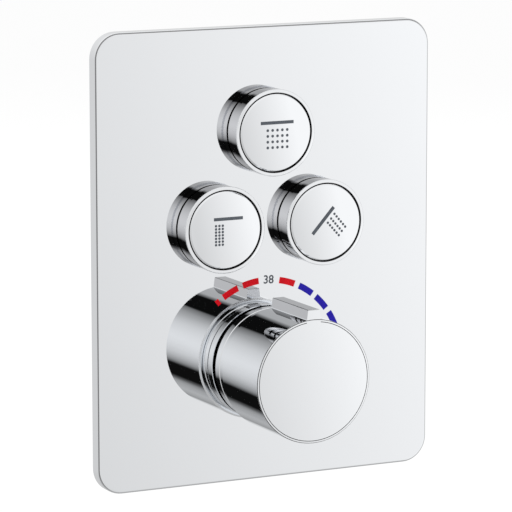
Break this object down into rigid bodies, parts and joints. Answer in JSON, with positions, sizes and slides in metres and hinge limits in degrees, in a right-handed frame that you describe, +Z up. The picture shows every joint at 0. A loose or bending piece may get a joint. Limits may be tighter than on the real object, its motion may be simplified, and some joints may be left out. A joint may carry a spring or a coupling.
{
  "type": "thermostatic shower valve",
  "caption": "Wall-recessed thermostatic shower valve: a flat chrome face plate with round push buttons and a winged temperature knob, and the brass valve behind it.",
  "frame": {"origin": "centre of the face plate on the plane of the finished wall", "axes": "+X right as seen from the front, +Y into the wall, +Z up"},
  "size_m": [0.17, 0.128, 0.211],
  "materials": {
    "chrome_plate": "polished",
    "chrome_trim": "polished",
    "button_chrome": "polished",
    "black_plastic": "fine moulded",
    "white_plastic": "moulded",
    "foam_rubber": "closed-cell foam",
    "seal_rubber": "smooth",
    "cast_brass": "sand cast, machined faces",
    "turned_brass": "turned",
    "copper": "drawn",
    "steel": "turned",
    "spring_steel": "drawn wire",
    "galvanised_steel": "galvanised sheet",
    "red_ink": "screen print",
    "blue_ink": "screen print",
    "grey_ink": "screen print"
  },
  "bodies": {
    "valve": {"face_plate": "chrome_plate", "knob_collar": "chrome_trim", "carrier_frame": "black_plastic", "collar_seat": "black_plastic", "stop_ring": "black_plastic", "button_guide_top": "black_plastic", "button_guide_left": "black_plastic", "button_guide_right": "black_plastic", "valve_cartridge_top": "white_plastic", "valve_cartridge_left": "white_plastic", "valve_cartridge_right": "white_plastic", "hot_check_valve": "white_plastic", "cold_check_valve": "white_plastic", "plate_seal": "foam_rubber", "cartridge_seals": "seal_rubber", "thermostat_seals": "seal_rubber", "valve_body": "cast_brass", "thermostat_nut": "turned_brass", "thermostat_body": "turned_brass", "duct_plugs": "turned_brass", "cartridge_nut_top": "turned_brass", "cartridge_nut_left": "turned_brass", "cartridge_nut_right": "turned_brass", "frame_screws": "steel", "bracket_screws": "steel", "plate_clips": "steel", "hot_inlet_filter": "steel", "cold_inlet_filter": "steel", "wall_bracket": "galvanised_steel"},
    "knob": {"knob_shell": "chrome_trim", "knob_insert": "white_plastic", "knob_grub_screw": "steel", "thermostat_spindle": "turned_brass"},
    "shuttle": {"thermostat_shuttle": "turned_brass", "thermostat_element": "copper", "thermostat_spring": "spring_steel"},
    "ring_top": {"flow_ring_top": "chrome_trim", "flow_sleeve_top": "turned_brass"},
    "push_top": {"button_cap_top": "button_chrome", "push_rod_top": "steel", "valve_piston_top": "seal_rubber", "push_spring_top": "spring_steel"},
    "ring_left": {"flow_ring_left": "chrome_trim", "flow_sleeve_left": "turned_brass"},
    "push_left": {"button_cap_left": "button_chrome", "push_rod_left": "steel", "valve_piston_left": "seal_rubber", "push_spring_left": "spring_steel"},
    "ring_right": {"flow_ring_right": "chrome_trim", "flow_sleeve_right": "turned_brass"},
    "push_right": {"button_cap_right": "button_chrome", "push_rod_right": "steel", "valve_piston_right": "seal_rubber", "push_spring_right": "spring_steel"},
    "poppet_hot": {"hot_check_poppet": "steel", "hot_check_spring": "spring_steel"},
    "poppet_cold": {"cold_check_poppet": "steel", "cold_check_spring": "spring_steel"}
  },
  "joints": [
    {"name": "knob_turn", "type": "hinge", "parent": "valve", "child": "knob", "pos_m": [0, 0, -0.051], "axis": [0, -1, 0], "range_deg": [-66, 66]},
    {"name": "shuttle_slide", "type": "slide", "parent": "valve", "child": "shuttle", "axis": [0, 1, 0], "range_m": [-0.0012, 0.0012], "deforming": ["thermostat_spring"]},
    {"name": "flow_top_turn", "type": "hinge", "parent": "valve", "child": "ring_top", "pos_m": [0, 0, 0.0574], "axis": [0, -1, 0], "range_deg": [-90, 0]},
    {"name": "push_top", "type": "slide", "parent": "valve", "child": "push_top", "axis": [0, 1, 0], "range_m": [0, 0.003], "stiffness_N_per_m": 900, "springref_m": -0.004, "deforming": ["push_spring_top"]},
    {"name": "flow_left_turn", "type": "hinge", "parent": "valve", "child": "ring_left", "pos_m": [-0.0256, 0, 0.0144], "axis": [0, -1, 0], "range_deg": [-90, 0]},
    {"name": "push_left", "type": "slide", "parent": "valve", "child": "push_left", "axis": [0, 1, 0], "range_m": [0, 0.003], "stiffness_N_per_m": 900, "springref_m": -0.004, "deforming": ["push_spring_left"]},
    {"name": "flow_right_turn", "type": "hinge", "parent": "valve", "child": "ring_right", "pos_m": [0.0256, 0, 0.0144], "axis": [0, -1, 0], "range_deg": [-90, 0]},
    {"name": "push_right", "type": "slide", "parent": "valve", "child": "push_right", "axis": [0, 1, 0], "range_m": [0, 0.003], "stiffness_N_per_m": 900, "springref_m": -0.004, "deforming": ["push_spring_right"]},
    {"name": "hot_check_lift", "type": "slide", "parent": "valve", "child": "poppet_hot", "axis": [1, 0, 0], "range_m": [0, 0.0025], "stiffness_N_per_m": 200, "springref_m": -0.003, "deforming": ["hot_check_spring"]},
    {"name": "cold_check_lift", "type": "slide", "parent": "valve", "child": "poppet_cold", "axis": [-1, 0, 0], "range_m": [0, 0.0025], "stiffness_N_per_m": 200, "springref_m": -0.003, "deforming": ["cold_check_spring"]}
  ],
  "couplings": [
    {"joint": "shuttle_slide", "follows": "knob_turn", "m_per_rad": 0.001}
  ]
}
